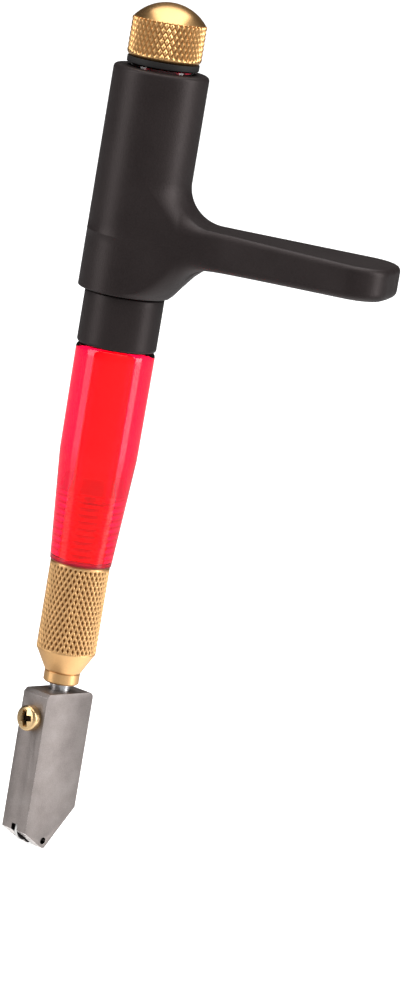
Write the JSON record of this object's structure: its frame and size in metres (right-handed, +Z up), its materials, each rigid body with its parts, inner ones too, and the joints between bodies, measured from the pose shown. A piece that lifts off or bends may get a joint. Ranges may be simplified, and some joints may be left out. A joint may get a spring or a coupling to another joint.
{
  "type": "glass cutter",
  "caption": "Oil-fed glass cutter: a wheel in a slotted steel head on a sprung spindle, a transparent barrel that holds the oil, and a palm rest that turns about the stem.",
  "frame": {"origin": "on the tool axis, at the level of the steel head's point", "axes": "+Z up the tool axis from the point to the filler cap; +X along the palm rest's arm; +Y completes a right-handed frame"},
  "size_m": [0.0604, 0.021, 0.1645],
  "materials": {
    "blasted_steel": "grey-brown blasted steel with bright worn edges",
    "carbide": "ground tungsten carbide",
    "pin_steel": "drawn steel",
    "screw_brass": "polished brass",
    "bright_steel": "bright turned steel",
    "turned_brass": "turned and diamond-knurled brass",
    "seal_rubber": "matt black nitrile rubber",
    "clear_silicone": "clear silicone rubber",
    "red_acrylic": "transparent red acrylic, polished",
    "black_plastic": "satin moulded plastic, charcoal black"
  },
  "bodies": {
    "handle": {"barrel": "red_acrylic", "ferrule": "turned_brass", "ferrule_o_ring": "clear_silicone", "nose_bush": "turned_brass", "spindle_o_ring": "seal_rubber", "valve_seat": "turned_brass", "spring_retainer": "turned_brass", "valve_spring": "bright_steel"},
    "palm_rest": {"saddle": "black_plastic"},
    "spacer": {"spacer_ring": "black_plastic"},
    "washer": {"cap_washer": "seal_rubber"},
    "cap": {"filler_cap": "turned_brass"},
    "plunger": {"spindle": "bright_steel", "spindle_clip": "pin_steel", "valve_poppet": "turned_brass", "poppet_seal": "seal_rubber"},
    "head": {"cutting_head": "blasted_steel", "wheel_axle": "pin_steel"},
    "wheel": {"cutting_wheel": "carbide"},
    "screw": {"clamp_screw": "screw_brass"}
  },
  "joints": [
    {"name": "palm_rest_turn", "type": "hinge", "parent": "handle", "child": "palm_rest", "pos_m": [0, 0, 0.12], "axis": [0, 0, 1], "continuous": true},
    {"name": "spacer_turn", "type": "hinge", "parent": "handle", "child": "spacer", "pos_m": [0, 0, 0.1035], "axis": [0, 0, 1], "continuous": true},
    {"name": "cap_lift", "type": "slide", "parent": "handle", "child": "washer", "axis": [0, 0, 1], "range_m": [0, 0.007]},
    {"name": "cap_turn", "type": "hinge", "parent": "washer", "child": "cap", "pos_m": [0, 0, 0.157], "axis": [0, 0, 1], "range_deg": [0, 2530]},
    {"name": "spindle_plunge", "type": "slide", "parent": "handle", "child": "plunger", "axis": [0, 0, 1], "range_m": [0, 0.0012], "stiffness_N_per_m": 1500, "springref_m": -0.002, "deforming": ["valve_spring"]},
    {"name": "head_swivel", "type": "hinge", "parent": "plunger", "child": "head", "pos_m": [0, 0, 0.0255], "axis": [0, 0, 1], "range_deg": [-10, 10]},
    {"name": "wheel_spin", "type": "hinge", "parent": "head", "child": "wheel", "pos_m": [-0.0014, -0.00286, 0.00367], "axis": [0.8988, -0.4384, 0], "continuous": true},
    {"name": "screw_turn", "type": "hinge", "parent": "head", "child": "screw", "pos_m": [0, 0, 0.0255], "axis": [-0.4384, -0.8988, 0], "range_deg": [0, 720]}
  ],
  "couplings": [
    {"joint": "cap_turn", "follows": "cap_lift", "rad_per_m": 6283.2}
  ]
}
